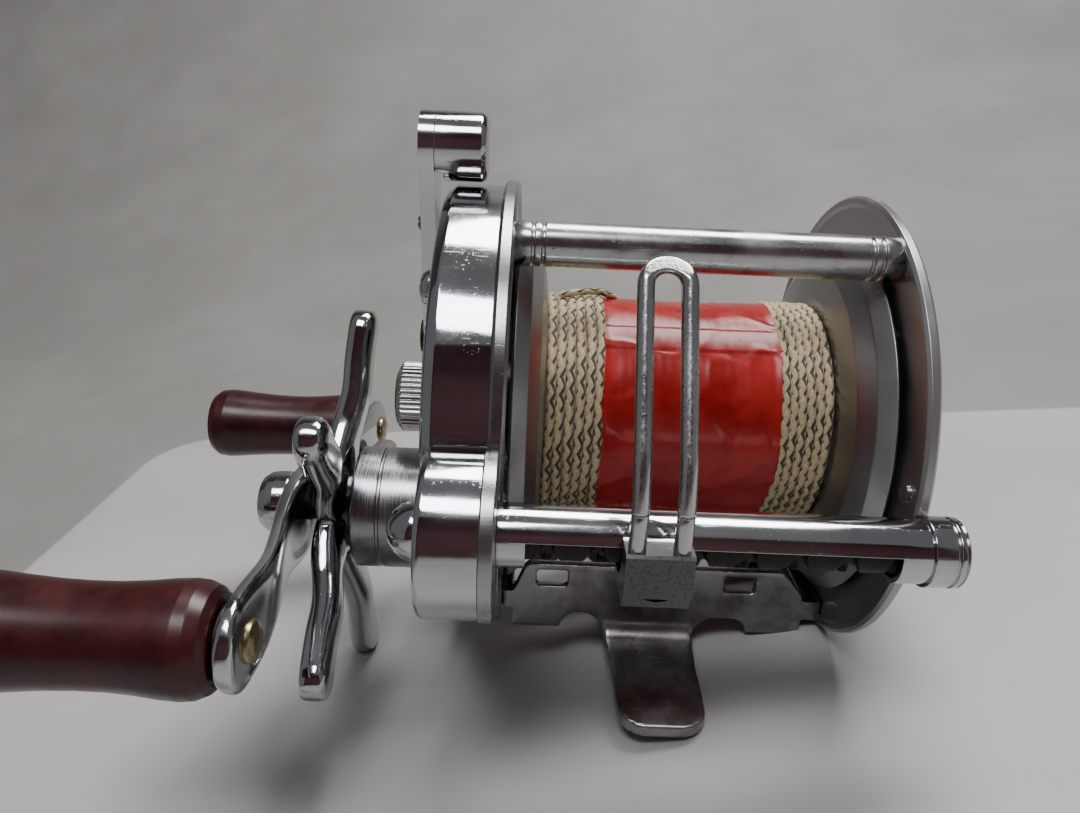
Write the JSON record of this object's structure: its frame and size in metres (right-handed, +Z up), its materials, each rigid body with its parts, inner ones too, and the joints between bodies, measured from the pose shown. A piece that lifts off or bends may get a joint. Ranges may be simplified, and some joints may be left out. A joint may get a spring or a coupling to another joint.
{
  "type": "baitcasting reel",
  "caption": "Star-drag baitcasting reel with a level wind, a double handle with torpedo grips, a free-spool lever, wound line under tape and a stamped foot.",
  "frame": {"origin": "centre of the underside of the foot, under the spool axis", "axes": "+X along the spool axis from the handle side to the tail side; -Y towards the level wind and the rod tip; +Z up from the foot to the spool"},
  "size_m": [0.1465, 0.1113, 0.1095],
  "materials": {
    "chrome_plate": "worn bright plating with fine pits",
    "satin_plate": "brushed in turning rings",
    "dark_steel": "dull machined steel",
    "brass": "aged brass",
    "grip_maroon": "dark maroon, semi-gloss, worn",
    "black_washer": "matt black",
    "line_tan": "braided tan line with dark flecks",
    "tape_red": "glossy wrinkled tape",
    "fibre": "brown drag washer fibre"
  },
  "bodies": {
    "frame": {"handle_ring": "chrome_plate", "tail_ring": "chrome_plate", "pillars": "chrome_plate", "ring_screws": "chrome_plate", "reel_foot": "chrome_plate", "foot_screws": "chrome_plate", "wind_tube": "chrome_plate", "tube_end_cap": "chrome_plate", "gear_plate": "satin_plate", "gear_cover": "chrome_plate", "cover_screws": "chrome_plate", "wind_dome": "chrome_plate", "bridge_sleeve": "chrome_plate", "handle_bushing": "brass", "tail_bushing": "brass", "tail_cover": "chrome_plate", "tail_screws": "chrome_plate", "tail_cap": "chrome_plate", "idler_post": "dark_steel", "dog_post": "dark_steel"},
    "spool": {"spool_shaft": "dark_steel", "spool_arbor": "satin_plate", "handle_flange": "satin_plate", "tail_flange": "satin_plate", "line_pack": "line_tan", "red_tape": "tape_red", "click_wheel": "dark_steel"},
    "crank": {"crank_shaft": "dark_steel", "main_gear": "brass", "drag_washers": "fibre", "drag_sleeve": "dark_steel", "ratchet_wheel": "dark_steel", "handle_arm": "chrome_plate", "handle_nut": "chrome_plate", "grip_posts": "brass", "grip_collars": "black_washer"},
    "star": {"star_drag": "chrome_plate"},
    "front_grip": {"grip_front": "grip_maroon"},
    "rear_grip": {"grip_rear": "grip_maroon"},
    "yoke": {"clutch_yoke": "dark_steel"},
    "pinion": {"pinion": "brass"},
    "idler": {"idler_gear": "brass"},
    "worm": {"wind_gear": "brass", "worm_shaft": "dark_steel"},
    "carriage": {"carriage": "chrome_plate", "line_guide": "chrome_plate", "pawl": "brass", "pawl_cap": "chrome_plate"},
    "lever": {"lever_plate": "chrome_plate", "lever_knob": "chrome_plate", "lever_screw": "brass", "lever_shaft": "dark_steel"},
    "tension_knob": {"tension_knob": "chrome_plate", "tension_pad": "brass"},
    "dog": {"anti_reverse_dog": "dark_steel"},
    "click": {"click_button": "chrome_plate", "click_pawl": "dark_steel"}
  },
  "joints": [
    {"name": "crank_turn", "type": "hinge", "parent": "frame", "child": "crank", "pos_m": [-0.04, -0.00424, 0.02282], "axis": [1, 0, 0], "continuous": true},
    {"name": "spool_spin", "type": "hinge", "parent": "frame", "child": "spool", "pos_m": [0, 0, 0.044], "axis": [1, 0, 0], "continuous": true},
    {"name": "yoke_slide", "type": "slide", "parent": "frame", "child": "yoke", "axis": [-1, 0, 0], "range_m": [0, 0.001]},
    {"name": "pinion_spin", "type": "hinge", "parent": "yoke", "child": "pinion", "pos_m": [-0.034, 0, 0.044], "axis": [1, 0, 0], "continuous": true},
    {"name": "idler_spin", "type": "hinge", "parent": "frame", "child": "idler", "pos_m": [-0.034, -0.02548, 0.03399], "axis": [1, 0, 0], "continuous": true},
    {"name": "worm_spin", "type": "hinge", "parent": "frame", "child": "worm", "pos_m": [0, -0.0431, 0.0393], "axis": [1, 0, 0], "continuous": true},
    {"name": "carriage_slide", "type": "slide", "parent": "frame", "child": "carriage", "axis": [1, 0, 0], "range_m": [-0.0135, 0.0265]},
    {"name": "star_turn", "type": "hinge", "parent": "crank", "child": "star", "pos_m": [-0.059, -0.00424, 0.02282], "axis": [1, 0, 0], "range_deg": [-180, 180]},
    {"name": "front_grip_spin", "type": "hinge", "parent": "crank", "child": "front_grip", "pos_m": [-0.085, -0.05163, 0.02605], "axis": [1, 0, 0], "continuous": true},
    {"name": "rear_grip_spin", "type": "hinge", "parent": "crank", "child": "rear_grip", "pos_m": [-0.085, 0.04315, 0.01959], "axis": [1, 0, 0], "continuous": true},
    {"name": "lever_swing", "type": "hinge", "parent": "frame", "child": "lever", "pos_m": [-0.043, 0.005, 0.0545], "axis": [-1, 0, 0], "range_deg": [0, 22]},
    {"name": "tension_knob_turn", "type": "hinge", "parent": "frame", "child": "tension_knob", "pos_m": [-0.046, 0, 0.044], "axis": [1, 0, 0], "range_deg": [-180, 180]},
    {"name": "dog_swing", "type": "hinge", "parent": "frame", "child": "dog", "pos_m": [-0.032, 0.00726, 0.02082], "axis": [-1, 0, 0], "range_deg": [0, 10]},
    {"name": "click_slide", "type": "slide", "parent": "frame", "child": "click", "axis": [0, 0, -1], "range_m": [0, 0.003]}
  ],
  "couplings": [
    {"joint": "spool_spin", "follows": "crank_turn", "ratio": -2.375},
    {"joint": "pinion_spin", "follows": "crank_turn", "ratio": -2.375},
    {"joint": "idler_spin", "follows": "crank_turn", "ratio": -1.7273},
    {"joint": "worm_spin", "follows": "crank_turn", "ratio": 1.5833},
    {"joint": "yoke_slide", "follows": "lever_swing", "m_per_rad": 0.0026044}
  ]
}
